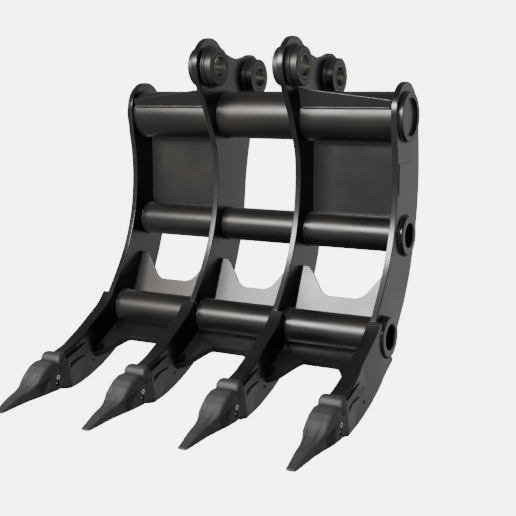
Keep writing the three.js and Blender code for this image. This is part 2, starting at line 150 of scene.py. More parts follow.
def ear_outline():
    """An inner tine plate: two lobes round the pins, with a saddle between them."""
    lobe = circle(STICK_PIN, FRONT_LOBE_RADIUS, 40, math.pi * 1.24, math.pi * 0.22)
    back = circle(LINK_PIN, REAR_LOBE_RADIUS, 32, math.pi * 0.63, -math.pi * 0.12)
    front = [tuple(JOINT_FRONT)] + FRONT_EDGE + [(21, -272), (-23, -177), lobe[0]]
    saddle = [lobe[-1], (122, 55), (204, 38), (265, 44), back[0]]
    rear = [back[-1], (372, -170), (325, -300), (292, -440)] + REAR_EDGE + [tuple(JOINT_REAR)]
    return [front[0]] + spline(front) + lobe[1:] + spline(saddle) + back[1:] + spline(rear)


def shank_outline(open_bore):
    """A shank, with the low tube's bore left open where it shows at the rake's sides."""
    start = tuple(JOINT_FRONT - joint_run * SHANK_PROUD)
    end = tuple(JOINT_REAR + joint_run * SHANK_PROUD)
    front = [start, (-191, -958), (-271, -1006), (-351, -1051), (-411, -1080), (-482.4, -1099.2)]
    under = [(-447, -1252.9), (-391, -1249), (-331, -1237), (-271, -1219), (-211, -1197)]
    under += [(-143, -1164), (-84, -1127), end]
    outline = [front[0]] + spline(front) + [under[0]] + spline(under)
    return outline + (bore_arc(-joint_up) if open_bore else [])


# ---------------------------------------------------------------- meshes

EDGE_BAND = 2.5  # from an edge to the first guard points, and between the guard points
GUARDS = ((1, 0.44), (2, 0.48))  # guard points, in bands from the corner and at most this share of a side
SHARP = math.radians(32)
CUT_SHARP = math.radians(38)


def make_object(name, bm, smooth=50):
    """The mesh as an object, with sharp edges where its faces turn by more than so many degrees."""
    bmesh.ops.recalc_face_normals(bm, faces=bm.faces)
    mesh = bpy.data.meshes.new(name)
    bm.to_mesh(mesh)
    bm.free()
    mesh.shade_smooth()
    mesh.set_sharp_from_angle(angle=math.radians(smooth))
    obj = bpy.data.objects.new(name, mesh)
    bpy.context.scene.collection.objects.link(obj)
    return obj


def weigh_normals(obj):
    weighted = obj.modifiers.new("flat faces stay flat", "WEIGHTED_NORMAL")
    weighted.keep_sharp = True
    return obj


def bevel_corners(bm, width, segments):
    sharp = [e for e in bm.edges if len(e.link_faces) == 2 and e.calc_face_angle(0) > SHARP]
    bmesh.ops.bevel(
        bm,
        geom=sharp,
        offset=width,
        segments=segments,
        profile=0.5,
        affect="EDGES",
        clamp_overlap=True,
    )


def prism_mesh(loops, place, low, high, bevel, segments):
    """A flat plate from its outline and holes. place(a, b, t) gives the point in space, in millimetres."""
    bm = bmesh.new()
    edges = []
    for loop in loops:
        ring = [bm.verts.new(Vector(place(a, b, low)) * MM) for a, b in loop]
        edges += [bm.edges.new((ring[i], ring[(i + 1) % len(ring)])) for i in range(len(ring))]
    bmesh.ops.triangle_fill(bm, use_beauty=True, edges=edges)
    grown = bmesh.ops.extrude_face_region(bm, geom=bm.faces[:])
    shift = (Vector(place(0, 0, high)) - Vector(place(0, 0, low))) * MM
    moved = [g for g in grown["geom"] if isinstance(g, bmesh.types.BMVert)]
    bmesh.ops.translate(bm, vec=shift, verts=moved)
    bmesh.ops.recalc_face_normals(bm, faces=bm.faces)
    bevel_corners(bm, bevel * MM, segments)
    # Two rings of guard points a little in from each edge keep the edge wear at the edges.
    bm.normal_update()
    corner = Vector(place(0, 0, low))
    across = (Vector(place(1, 0, low)) - corner).cross(Vector(place(0, 1, low)) - corner).normalized()
    sides = [f for f in bm.faces if abs(f.normal.dot(across)) > 0.9999]
    for _ in GUARDS:
        bmesh.ops.inset_region(bm, faces=sides, thickness=EDGE_BAND * MM, use_even_offset=True)
    return bm


def prism(name, loops, place, low, high, bevel, segments):
    return weigh_normals(make_object(name, prism_mesh(loops, place, low, high, bevel, segments)))


def side_plate(a, b, t):
    """In a tine's plane, with its thickness along X."""
    return (t, a, b)


def upright(a, b, t):
    """Upright and square to the tines."""
    return (a, t, b)


def sloping(root, end):
    """A place function for a plate that slopes from one (y, z) to another, and the plate's length."""
    run = Vector((0, end[0] - root[0], end[1] - root[1])).normalized()
    normal = Vector((1, 0, 0)).cross(run)

    def place(a, b, t):
        return Vector((a, root[0], root[1])) + run * b + normal * t

    return place, math.hypot(end[0] - root[0], end[1] - root[1])


def loft_into(bm, rows, closed_rows=False):
    """Quads between rows of points that each go round once. The end rows are capped, or joined."""
    rings = [[bm.verts.new(Vector(p) * MM) for p in row] for row in rows]
    count = len(rings[0])
    pairs = list(zip(rings, rings[1:]))
    if closed_rows:
        pairs.append((rings[-1], rings[0]))
    for first, second in pairs:
        for i in range(count):
            j = (i + 1) % count
            bm.faces.new((first[i], first[j], second[j], second[i]))
    if not closed_rows:
        bm.faces.new(rings[0])
        bm.faces.new(rings[-1])


def guard(corner, side, reach, band, most):
    """A guard point along a side of the corner."""
    return tuple(corner + side.normalized() * min(reach + band * EDGE_BAND, side.length * most))


def rounded(profile, radius, steps=4):
    """The closed profile with each corner turned into a short arc between guard points."""
    made = []
    count = len(profile)
    for i in range(count):
        corner = Vector(profile[i])
        back = Vector(profile[i - 1]) - corner
        ahead = Vector(profile[(i + 1) % count]) - corner
        reach = min(radius, back.length * 0.4, ahead.length * 0.4)
        made += [guard(corner, back, reach, band, most) for band, most in reversed(GUARDS)]
        start = corner + back.normalized() * reach
        end = corner + ahead.normalized() * reach
        for k in range(steps + 1):
            t = k / steps
            made.append(tuple(start.lerp(corner, t).lerp(corner.lerp(end, t), t)))
        made += [guard(corner, ahead, reach, band, most) for band, most in GUARDS]
    return made


def turned_into(bm, at, profile, steps):
    """A round piece along X from a closed profile of (radius, x)."""
    rows = []
    for k in range(steps):
        c, s = math.cos(FULL_TURN * k / steps), math.sin(FULL_TURN * k / steps)
        rows.append([(x, at[0] + r * c, at[1] + r * s) for r, x in profile])
    loft_into(bm, rows, closed_rows=True)


def turned(name, at, profile, corner, steps=96):
    bm = bmesh.new()
    turned_into(bm, at, rounded(profile, corner), steps)
    return weigh_normals(make_object(name, bm, 60))


def cut_with(obj, cutters):
    """The object's mesh with each cutter taken away."""
    for cutter in cutters:
        cut = obj.modifiers.new("cut", "BOOLEAN")
        cut.operation = "DIFFERENCE"
        cut.solver = "EXACT"
        cut.object = cutter
    bpy.context.view_layer.update()
    graph = bpy.context.evaluated_depsgraph_get()
    mesh = bpy.data.meshes.new_from_object(obj.evaluated_get(graph))
    obj.modifiers.clear()
    obj.data = mesh
    mesh.shade_smooth()
    mesh.set_sharp_from_angle(angle=CUT_SHARP)
    for cutter in cutters:
        bpy.data.objects.remove(cutter)
    return obj


# ---------------------------------------------------------------- materials

BARE_EDGE = (0.30, 0.29, 0.28)
WEAR_FROM, WEAR_TO = 0.535, 0.64  # how sharp an edge is where its wear starts and where it is full


def add_node(tree, kind, values=None):
    """A new node, with some of its inputs set."""
    node = tree.nodes.new(kind)
    for socket, value in (values or {}).items():
        node.inputs[socket].default_value = value
    return node


def noise(tree, where, scale, detail):
    node = add_node(tree, "ShaderNodeTexNoise", {"Scale": scale, "Detail": detail})
    tree.links.new(where, node.inputs["Vector"])
    return node.outputs["Fac"]


def ramp(tree, source, start, end):
    """A colour ramp between two stops, each a position and a colour."""
    node = add_node(tree, "ShaderNodeValToRGB")
    stops = node.color_ramp.elements
    stops[0].position, stops[1].position = start[0], end[0]
    stops[0].color, stops[1].color = (*start[1], 1), (*end[1], 1)
    tree.links.new(source, node.inputs["Fac"])
    return node.outputs["Color"]


def spread(tree, source, start, end, low=0.0, high=1.0):
    """The source's stretch from start to end carried over to low to high, and held beyond its ends."""
    values = {"From Min": start, "From Max": end, "To Min": low, "To Max": high}
    node = add_node(tree, "ShaderNodeMapRange", values)
    tree.links.new(source, node.inputs["Value"])
    return node.outputs["Result"]


def paint(name, base, roughness, metallic=0.0, warm=1.0, grain=0.05, wear=0.12, scale=1.0):
    """Satin paint on steel: mottled colour and gloss, fine grain, edges rubbed towards bare steel."""
    mat = bpy.data.materials.new(name)
    mat.use_nodes = True
    tree = mat.node_tree
    tree.nodes.clear()
    link = tree.links.new
    shader = add_node(tree, "ShaderNodeBsdfPrincipled", {"Metallic": metallic})
    out = add_node(tree, "ShaderNodeOutputMaterial")
    link(shader.outputs["BSDF"], out.inputs["Surface"])
    where = add_node(tree, "ShaderNodeTexCoord").outputs["Object"]
    broad = noise(tree, where, 4.0 * scale, 6.0)
    speck = noise(tree, where, 160.0 * scale, 3.0)

    dark = [c * 0.78 for c in base]
    light = [base[0] * 1.22 * warm, base[1] * 1.2, base[2] * 1.18 / warm]
    tone = ramp(tree, broad, (0.32, dark), (0.70, light))
    sharpness = add_node(tree, "ShaderNodeNewGeometry").outputs["Pointiness"]
    edge = ramp(tree, sharpness, (WEAR_FROM, (0, 0, 0)), (WEAR_TO, (wear, wear, wear)))
    worn = add_node(tree, "ShaderNodeMix")
    worn.data_type = "RGBA"
    link(edge, worn.inputs["Factor"])
    link(tone, worn.inputs["A"])
    worn.inputs["B"].default_value = (*BARE_EDGE, 1)
    link(worn.outputs["Result"], shader.inputs["Base Color"])

    link(spread(tree, broad, 0.3, 0.7, roughness - 0.05, roughness + 0.07), shader.inputs["Roughness"])
    bump = add_node(tree, "ShaderNodeBump", {"Strength": grain, "Distance": 0.002})
    link(speck, bump.inputs["Height"])
    link(bump.outputs["Normal"], shader.inputs["Normal"])
    return mat


FRAME = paint("charcoal_plate", (0.003, 0.003, 0.0032), 0.26)
SHEET = paint("charcoal_sheet", (0.0045, 0.004, 0.0035), 0.31, warm=1.04)
PIPE = paint("charcoal_pipe", (0.0045, 0.004, 0.0035), 0.36, warm=1.04)
CAST = paint("charcoal_casting", (0.016, 0.016, 0.017), 0.58, grain=0.22, scale=1.6)
STEEL = paint("dark_machined_steel", (0.06, 0.057, 0.054), 0.30, metallic=0.9)
BORE_STEEL = paint("bright_bore_steel", (0.42, 0.41, 0.39), 0.28, metallic=1.0, scale=2)
BOSS = paint("charcoal_boss", (0.004, 0.0038, 0.0037), 0.44)
LOCK_STEEL = paint("dark_lock_steel", (0.45, 0.45, 0.44), 0.25, metallic=0.95, scale=3)
# Painted shade: a dark matt inlay for the bottom of the adapter's shallow slots, so that they read as deep
# and shaded.
SLOT_SHADE = paint("painted_slot_shade", (0.002, 0.0018, 0.0016), 0.9, grain=0.5, wear=0.0, scale=2)
WELD = paint("painted_weld", (0.009, 0.009, 0.009), 0.32, grain=0.3, scale=2)


def dress(obj, material, body=ROOT, stands_for=None):
    """Gives the object its material, its body and the CAD piece that it stands for."""
    obj.data.materials.clear()
    obj.data.materials.append(material)
    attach(obj, body)
    if stands_for:
        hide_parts(stands_for)
    return obj


# ---------------------------------------------------------------- weld beads

beads = bmesh.new()
BEAD_SIDES = 8
BEAD_STEP = 3
RING_BEAD_STEPS = 220
RIPPLE = 1.9  # radians of the weld's ripple from one step to the next
BEAD_TURNS = [FULL_TURN * k / BEAD_SIDES for k in range(BEAD_SIDES)]
TUBE_WELD, JOINT_WELD, BOSS_WELD, RING_WELD, DISC_WELD = 3, 4, 4, 4, 2.5
GUSSET_WELD, BACK_LOW_WELD, BACK_HIGH_WELD, LIP_WELD = 4, 3.5, 3, 2


def bead(points, radius):
    """A rippled weld bead along a line of points."""
    line = [Vector(p) for p in points]
    dense = []
    for start, end in zip(line, line[1:]):
        steps = max(1, int((end - start).length / BEAD_STEP))
        dense += [start.lerp(end, k / steps) for k in range(steps)]
    dense.append(line[-1])
    rows = []
    up = Vector((0.31, 0.52, 0.79))
    last = len(dense) - 1
    for i, point in enumerate(dense):
        ahead = (dense[min(i + 1, last)] - dense[max(i - 1, 0)]).normalized()
        side = ahead.cross(up).normalized()
        over = side.cross(ahead)
        swell = radius * (1 + 0.13 * math.sin(i * RIPPLE) + rng.uniform(-0.05, 0.05))
        if i in (0, last):
            swell *= 0.4
        rows.append([point + side * swell * math.cos(t) + over * swell * math.sin(t) for t in BEAD_TURNS])
    loft_into(beads, rows)


def ring_bead(at, tube_radius, x, radius):
    """A weld bead round a tube where it meets a plate's face."""
    rows = []
    for i in range(RING_BEAD_STEPS):
        angle = FULL_TURN * i / RING_BEAD_STEPS
        swell = radius * (1 + 0.12 * math.sin(i * RIPPLE) + rng.uniform(-0.04, 0.04))
        row = []
        for turn in BEAD_TURNS:
            reach = tube_radius + swell * math.cos(turn)
            y, z = at[0] + reach * math.cos(angle), at[1] + reach * math.sin(angle)
            row.append((x + swell * math.sin(turn), y, z))
        rows.append(row)
    loft_into(beads, rows, closed_rows=True)


# ---------------------------------------------------------------- tines

BUSHING_RADIUS = 50


def add_tine(tine):
    """A tine plate and its shank, both left out of mirror reflections so that the paint stays calm."""
    loops = [ear_outline() if tine.ear else outer_outline()]
    loops += [circle(tube.at, tube.radius + GAP) for tube in (TOP_TUBE, MID_TUBE)]
    if tine.ear:
        loops += [circle(pin, BUSHING_RADIUS + GAP, 64) for pin in (STICK_PIN, LINK_PIN)]
    low, high = tine.plate_x - PLATE_HALF, tine.plate_x + PLATE_HALF
    plate = prism(f"tine_plate_look_{tine.name}", loops, side_plate, low, high, bevel=3.2, segments=4)
    plate.visible_glossy = False
    dress(plate, FRAME, stands_for=f"tine_plate_{tine.name}")

    loops = [shank_outline(open_bore=not tine.ear)]
    low, high = tine.shank_x - SHANK_HALF, tine.shank_x + SHANK_HALF
    shank = prism(f"shank_look_{tine.name}", loops, side_plate, low, high, bevel=5, segments=4)
    shank.visible_glossy = False
    dress(shank, FRAME, stands_for=f"shank_{tine.name}")


def weld_tine(tine):
    """Beads round the tubes and along the joint, on both faces of a tine."""
    for side in (-1, 1):
        face = tine.plate_x + side * PLATE_HALF
        shank_face = tine.shank_x + side * SHANK_HALF
        ring_bead(TOP_TUBE.at, TOP_TUBE.radius, face, TUBE_WELD)
        ring_bead(MID_TUBE.at, MID_TUBE.radius, face, TUBE_WELD)
        if abs(shank_face) < OUTER_FACE:
            ring_bead(LOW_TUBE.at, LOW_TUBE.radius, shank_face, TUBE_WELD)
        run = [JOINT_FRONT.lerp(JOINT_REAR, t) for t in (0.03, 0.5, 0.97)]
        bead([(face, p.x + 2, p.y + 2) for p in run], JOINT_WELD)


for tine in TINES:
    add_tine(tine)
    weld_tine(tine)

# ---------------------------------------------------------------- tubes and their ends

AXIS = 0.01  # a round piece's inner radius where it is solid
DISC_RADIUS = 71
RING_BORE = 46
MID_RING_RADIUS = 78
LOW_RING_RADIUS = 79
TOP_END = OUTER_FACE + 16
DISC_DEPTH = 12
DISC_SEAT = TOP_END - DISC_DEPTH - 8


def add_tubes():
    """The top tube with a seat for a disc in each end, and the two plain tubes."""
    half = [(TOP_TUBE.bore, DISC_SEAT), (DISC_RADIUS, DISC_SEAT)]
    half += [(DISC_RADIUS, TOP_END), (TOP_TUBE.radius, TOP_END)]
    profile = [(r, -x) for r, x in half] + half[::-1]
    look = turned("top_tube_look", TOP_TUBE.at, profile, corner=2.5, steps=128)
    dress(look, PIPE, stands_for="top_tube")
    for label, tube in (("mid_tube", MID_TUBE), ("lower_tube", LOW_TUBE)):
        profile = [(tube.bore, -OUTER_FACE), (tube.radius, -OUTER_FACE)]
        profile += [(tube.radius, OUTER_FACE), (tube.bore, OUTER_FACE)]
        look = turned(f"{label}_look", tube.at, profile, corner=1, steps=112)
        dress(look, PIPE, stands_for=label)


def add_end_disc(side, sign):
    root, face = sign * (DISC_SEAT + GAP), sign * (TOP_END - DISC_DEPTH)
    radius = DISC_RADIUS - 0.4
    profile = [(AXIS, root), (radius, root), (radius, face), (AXIS, face)]
    disc = turned(f"top_end_disc_look_{side}", TOP_TUBE.at, profile, corner=1.2)
    dress(disc, FRAME, stands_for=f"top_tube_end_disc_{side}")
    ring_bead(TOP_TUBE.at, DISC_RADIUS - 1.5, face, DISC_WELD)


def add_end_ring(label, tube, radius, standout, side, sign):
    root, face = sign * (OUTER_FACE + GAP), sign * (OUTER_FACE + standout)
    profile = [(RING_BORE, root), (radius, root), (radius, face), (RING_BORE, face)]
    ring = turned(f"{label}_end_ring_look_{side}", tube.at, profile, corner=8)
    dress(ring, FRAME, stands_for=f"{label}_tube_end_ring_{side}")


add_tubes()
for side, sign in SIDES:
    add_end_disc(side, sign)
    add_end_ring("mid", MID_TUBE, MID_RING_RADIUS, 16, side, sign)
    ring_bead(MID_TUBE.at, MID_RING_RADIUS, sign * (OUTER_FACE + GAP), RING_WELD)
    add_end_ring("lower", LOW_TUBE, LOW_RING_RADIUS, 28, side, sign)

# ---------------------------------------------------------------- ear bosses and bushings

PIN_RADIUS = 40
LINING = 1  # thickness of the bushing's bright bore
BOSS_FLANGE_RADIUS = 81
BOSS_RADIUS = 75
BOSS_FLANGE = 12
BOSS_HEIGHT = 40


def add_boss(pin_name, pin, side, place, middle, out):
    """A stepped boss round a bushing, on one side of an ear."""
    root = middle + out * (PLATE_HALF + GAP)
    step = middle + out * (PLATE_HALF + BOSS_FLANGE)
    face = middle + out * (PLATE_HALF + BOSS_HEIGHT)
    inner = BUSHING_RADIUS + GAP
    profile = [(inner, root), (BOSS_FLANGE_RADIUS, root), (BOSS_FLANGE_RADIUS, step)]
    profile += [(BOSS_RADIUS, step), (BOSS_RADIUS, face), (inner, face)]
    boss = turned(f"{pin_name}_boss_look_{side}_{place}", pin, profile, corner=4)
    dress(boss, BOSS, stands_for=f"{pin_name}_boss_{side}_{place}")
    ring_bead(pin, BOSS_FLANGE_RADIUS, root, BOSS_WELD)


def tube_profile(inner, outer, low, high):
    return [(inner, low), (outer, low), (outer, high), (inner, high)]


def add_bushing(pin_name, pin, side, middle):
    """A dark sleeve through the ear, with a bright lining in its bore."""
    low, high = middle - PLATE_HALF - BOSS_HEIGHT, middle + PLATE_HALF + BOSS_HEIGHT
    outer = PIN_RADIUS + LINING
    profile = tube_profile(outer + 0.2, BUSHING_RADIUS, low, high)
    sleeve = turned(f"{pin_name}_bushing_look_{side}", pin, profile, corner=2)
    dress(sleeve, STEEL, stands_for=f"{pin_name}_bushing_{side}")
    profile = tube_profile(PIN_RADIUS, outer, low + 2, high - 2)
    lining = turned(f"{pin_name}_bushing_bore_look_{side}", pin, profile, corner=0.3)
    dress(lining, BORE_STEEL)


for side, sign in SIDES:
    for pin_name, pin in (("stick", STICK_PIN), ("link", LINK_PIN)):
        for out in (-1, 1):
            place = "outside" if out == sign else "inside"
            add_boss(pin_name, pin, side, place, sign * EAR_X, out)
        add_bushing(pin_name, pin, side, sign * EAR_X)

# ---------------------------------------------------------------- plates between the tines

GUSSET_FOOT, GUSSET_LEAN = -157, 0.26
GUSSET_EAR_TOP, GUSSET_OUTER_TOP = -82, -126
GUSSET_FRONT, GUSSET_REAR = 42, 54
BACK_LOW, BACK_HIGH = -573, -284
BACK_FRONT, BACK_REAR = 168, 180
HORN_ROOT, HORN_END = (-1, -1002), (93, -782)
HORN_THICK = 12
BACK_HORN = [(45, 217), (70, 183), (92, 151), (110, 136), (132, 128)]  # from a tine, and up the plate
LIP_ROOT, LIP_END = (-109, -1039), (-295, -1140)
LIP_THICK = 26
LIP_HORN = [(38, 184), (70, 133), (90, 103), (104, 92)]  # from a shank, and along the plate


def leaning(a, b, t):
    """Square to the tines, leaning forward above its foot."""
    return (a, t - (b - GUSSET_FOOT) * GUSSET_LEAN, b)


def add_gusset(name, start, end):
    """The tapered plate on the top tube, high at the ear and low at the outer tine."""
    tops = (GUSSET_OUTER_TOP, GUSSET_EAR_TOP)
    left_top, right_top = tops if name == "left" else tops[::-1]
    outline = [(start, GUSSET_FOOT), (end, GUSSET_FOOT), (end, right_top), (start, left_top)]
    reach = (GUSSET_FRONT, GUSSET_REAR)
    gusset = prism(f"top_gusset_look_{name}", [outline], leaning, *reach, bevel=4.5, segments=4)
    dress(gusset, FRAME, stands_for=f"top_gusset_{name}")
    foot = GUSSET_FOOT + 1
    bead([(start + 8, GUSSET_FRONT, foot), (end - 8, GUSSET_FRONT, foot)], GUSSET_WELD)


def add_upper_back(name, start, end):
    outline = [(start, BACK_LOW), (end, BACK_LOW), (end, BACK_HIGH), (start, BACK_HIGH)]
    reach = (BACK_FRONT, BACK_REAR)
    plate = prism(f"upper_back_plate_look_{name}", [outline], upright, *reach, bevel=1.5, segments=2)
    dress(plate, SHEET, stands_for=f"upper_back_plate_{name}")
    for z, radius in ((BACK_LOW - 1, BACK_LOW_WELD), (BACK_HIGH + 4, BACK_HIGH_WELD)):
        bead([(start + 6, BACK_FRONT - 1, z), (end - 6, BACK_FRONT - 1, z)], radius)


def add_lower_back(name, start, end):
    """The plate over the low tube, with a dip between two horns."""
    place, high = sloping(HORN_ROOT, HORN_END)
    horn = [(24, high)] + BACK_HORN
    down = [(end - x, b) for x, b in horn]
    up = [(start + x, b) for x, b in reversed(horn)]
    outline = [(start, 0), (end, 0), (end, high), down[0]]
    outline += spline(down) + [up[0]] + spline(up) + [(start, high)]
    plate = prism(f"lower_back_plate_look_{name}", [outline], place, 0, HORN_THICK, bevel=2, segments=3)
    dress(plate, SHEET, stands_for=f"lower_back_plate_{name}")


def add_lower_front(name, start, end):
    """The plate ahead of the low tube, with a scalloped lip that runs out along the shanks."""
    place, long = sloping(LIP_ROOT, LIP_END)
    horn = [(0, long)] + LIP_HORN
    down = [(start + x, b) for x, b in horn]
    up = [(end - x, b) for x, b in reversed(horn)]
    outline = [(start, 0), down[0]] + spline(down) + [up[0]] + spline(up) + [(end, 0)]
    plate = prism(f"lower_front_plate_look_{name}", [outline], place, 0, LIP_THICK, bevel=11, segments=6)
    dress(plate, FRAME, stands_for=f"lower_front_plate_{name}")
    for x in (start, end):
        bead([place(x, 4, 0), place(x, long - 30, 0)], LIP_WELD)


for name, left, right in BAYS:
    start, end = left.plate_x + PLATE_HALF + GAP, right.plate_x - PLATE_HALF - GAP
    if name != "middle":
        add_gusset(name, start, end)
        add_upper_back(name, start, end)
    add_lower_back(name, start, end)
    add_lower_front(name, left.shank_x + SHANK_HALF + GAP, right.shank_x - SHANK_HALF - GAP)

# ---------------------------------------------------------------- blank plate on the right outer tine

ID_FRONT, ID_REAR, ID_LOW, ID_HIGH = 60, 205, -478, -360
id_outline = [(ID_FRONT, ID_LOW), (ID_REAR, ID_LOW), (ID_REAR, ID_HIGH), (ID_FRONT, ID_HIGH)]
id_reach = (OUTER_FACE + GAP, OUTER_FACE + 3)
id_plate = prism("blank_id_plate_look", [id_outline], side_plate, *id_reach, bevel=1, segments=2)
dress(id_plate, FRAME, stands_for="blank_id_plate")

# ---------------------------------------------------------------- tooth points, adapters and locks

# A tooth's own axes start at its tip: u runs back along the nose, v up from it and x across. The tables
# below hold pairs (u, reach), apart from the side block's front edge, which holds pairs (v, u).

NOSE_V = -5  # the middle of the nose and its pocket
LOCK_AT = (296, -3)
DETENT_AT = (285, -23)
SIDE_POCKET_AT = (284, -24)
LOCK_OUTER = 47
PAST_FLANK = 70  # a cutter's end, clear of the tooth's side
RING_POINTS = 112
FINE_POINTS = 720

POINT_TOP = [(0, 3), (40, 9), (76, 16), (108, 18), (140, 20), (165, 25), (190, 36)]
POINT_TOP += [(216, 51), (246, 63), (278, 66), (312, 58)]
POINT_LOW = [(0, -5), (20, -11), (109, -26), (195, -40), (245, -49), (281, -57), (312, -62)]
POINT_WIDE = [(0, 17), (30, 20), (60, 23), (100, 26), (125, 27.5), (150, 33), (172, 40), (192, 46.5)]
POINT_WIDE += [(245, 48.5), (280, 48.5), (312, 47)]
BLOCK_EDGE = [(-60, 226), (-27, 233), (-1, 244), (20, 272), (40, 300), (60, 316)]


def nose_point(x, u, v):
    """From a tooth's own axes to millimetres about the tooth's tip."""
    c, s = math.cos(NOSE_ANGLE), math.sin(NOSE_ANGLE)
    return (x, u * c - v * s, u * s + v * c)


def stretch(table, u):
    """The stretch of the table that holds u, and how far along it u is."""
    for (u0, v0), (u1, v1) in zip(table, table[1:]):
        if u <= u1:
            return v0, v1, (u - u0) / (u1 - u0)
    return table[-1][1], table[-1][1], 0.0


def straight(table, u):
    """The value at u, straight between the pairs (u, value) of a table."""
    low, high, t = stretch(table, u)
    return low + (high - low) * t


def eased(table, u):
    """The value at u, eased between the pairs (u, value) of a table and held beyond its ends."""
    low, high, t = stretch(table, max(u, table[0][0]))
    return low + (high - low) * (t * t * (3 - 2 * t))


def hump(value, middle, width):
    return math.exp(-(((value - middle) / width) ** 2))


def even_ring(half_wide, half_high, power):
    """Evenly spaced points round a squarish oval, the first one on its right side."""
    fine = []
    for k in range(FINE_POINTS + 1):
        angle = FULL_TURN * k / FINE_POINTS
        c, s = math.cos(angle), math.sin(angle)
        x = half_wide * math.copysign(abs(c) ** (2 / power), c)
        v = half_high * math.copysign(abs(s) ** (2 / power), s)
        fine.append((x, v))
    travelled = [0.0]
    for before, after in zip(fine, fine[1:]):
        travelled.append(travelled[-1] + math.dist(before, after))
    ring, at = [], 0
    for k in range(RING_POINTS):
        wanted = travelled[-1] * k / RING_POINTS
        while travelled[at + 1] < wanted:
            at += 1
        t = (wanted - travelled[at]) / max(travelled[at + 1] - travelled[at], 1e-9)
        ring.append(tuple(p + (q - p) * t for p, q in zip(fine[at], fine[at + 1])))
    return ring


def point_section(u):
    """One section of the tooth point: a rounded block, hollowed ahead of the side block with the lock."""
    top, low = straight(POINT_TOP, u), straight(POINT_LOW, u)
    wide = straight(POINT_WIDE, u)
    middle, half = (top + low) / 2, (top - low) / 2
    power = eased([(0, 3.2), (150, 4), (200, 6), (312, 7.5)], u)
    row = []
    for x, v in even_ring(wide, half, power):
        v += middle
        side = abs(x) / wide
        height = (v - middle) / half
        # The top narrows a little, and the flanks are scooped out below it.
        x *= 1 - 0.05 * eased([(100, 0), (200, 1)], u) * eased([(0.1, 0), (1.0, 1)], height)
        ahead = eased([(0, 0), (13, 1)], straight(BLOCK_EDGE, v) - u)
        window = eased([(-44, 0), (-32, 1)], v) * (1 - eased([(-2, 0), (24, 1)], v))
        scoop = 18 * ahead * eased([(150, 0), (222, 1)], u) * window * eased([(0.5, 0), (0.9, 1)], side)
        # Two shallow valleys run along the top, on both sides of a ridge.
        deep = 5.5 if height > 0 else 0
        valley = deep * hump(u, 168, 48) * hump(abs(x), 17 + 0.08 * (u - 150), 5.5)
        row.append(nose_point(x - math.copysign(scoop, x), u, v - valley))
    return row


def block_section(u, half_high, half_wide):
    """One section of the nose, or of the pocket that it fits."""
    return [nose_point(x, u, v + NOSE_V) for x, v in even_ring(half_wide, half_high, 9)]


def side_rod(at, radius, low, high, steps=32):
    """A cutter across the tooth."""
    bm = bmesh.new()
    centre = nose_point(0, *at)[1:]
    loft_into(bm, [[(x, *p) for p in circle(centre, radius, steps)] for x in (low, high)])
    return make_object("cutter", bm)


def shrunk(row, centre, share):
    return [tuple(Vector(centre).lerp(Vector(p), share)) for p in row]


def make_point():
    """The tooth point: closed at its tip, with a rounded rim round the pocket for the nose."""
    rows = []
    for share, u in ((0.55, 0.0), (0.85, 1.5), (0.97, 4.0)):
        row = point_section(u)
        rows.append(shrunk(row, (0, row[0][1], row[0][2]), share))
    rows += [point_section(u) for u in range(7, 308, 3)]
    rows.append(point_section(309.5))
    rows.append(shrunk(point_section(311.7), nose_point(0, 311.7, NOSE_V), 0.96))
    for u, half_high, half_wide in ((311.7, 37.5, 28.5), (309, 36.2, 27.2), (192, 18.2, 14.2)):
        rows.append(block_section(u, half_high, half_wide))
    bm = bmesh.new()
    loft_into(bm, rows)
    recess = side_rod(LOCK_AT, 12.5, 33.5, PAST_FLANK)
    pocket = side_rod(SIDE_POCKET_AT, 11, 38, PAST_FLANK)
    return cut_with(make_object("tooth_point_shape", bm, 45), [recess, pocket])


def make_lock():
    """The lock: a round plug with a hexagonal socket."""
    bm = bmesh.new()
    profile = [(AXIS, 34), (10, 34), (10, LOCK_OUTER), (AXIS, LOCK_OUTER)]
    turned_into(bm, nose_point(0, *LOCK_AT)[1:], rounded(profile, 1.2), 40)
    return cut_with(make_object("tooth_lock_shape", bm, 45), [side_rod(LOCK_AT, 4.6, 41, 60, 6)])


def make_detent():
    """The small domed pin beside the lock."""
    bm = bmesh.new()
    profile = [(AXIS, 38), (5.5, 38), (5.5, 44.5), (AXIS, 47)]
    turned_into(bm, nose_point(0, *DETENT_AT)[1:], rounded(profile, 2.5), 28)
    return make_object("detent_shape", bm, 60)


COLLAR_TOP = [(312.3, 50), (314, 55), (318, 62), (324, 69), (332, 73.5), (342, 75), (354, 73)]
COLLAR_TOP += [(364, 68), (371.7, 60)]
COLLAR_LOW = [(312.3, -66), (345, -85), (371.7, -96)]
COLLAR_WIDE = [(312.3, 42), (315, 45), (320, 47), (328, 48), (346, 48), (356, 46), (364, 41), (371.7, 33)]
COLLAR_ROWS = (371.7, 369, 366, *range(362, 318, -4), 319, 316.5, 314.5, 313, 312.3)


def collar_section(u):
    """One section of the adapter's collar: a ridge over the top that ends part of the way down."""
    top, low = straight(COLLAR_TOP, u), straight(COLLAR_LOW, u)
    wide = straight(COLLAR_WIDE, u)
    middle, half = (top + low) / 2, (top - low) / 2
    row = []
    for x, v in even_ring(wide, half, 8):
        v += middle
        fade = eased([(2, 0), (32, 1)], v)
        x -= math.copysign((1 - fade) * max(0, wide - 34) * min(1, abs(x) / 30), x)
        row.append(nose_point(x, u, v))
    return row


def make_collar():
    """The adapter's collar, with the nose ahead of it."""
    rows = [collar_section(u) for u in COLLAR_ROWS]
    for u, half_high, half_wide in ((312.3, 35, 26), (200, 18, 14), (196, 15, 11)):
        rows.append(block_section(u, half_high, half_wide))
    bm = bmesh.new()
    loft_into(bm, rows)
    return make_object("adapter_shape", bm, 50)


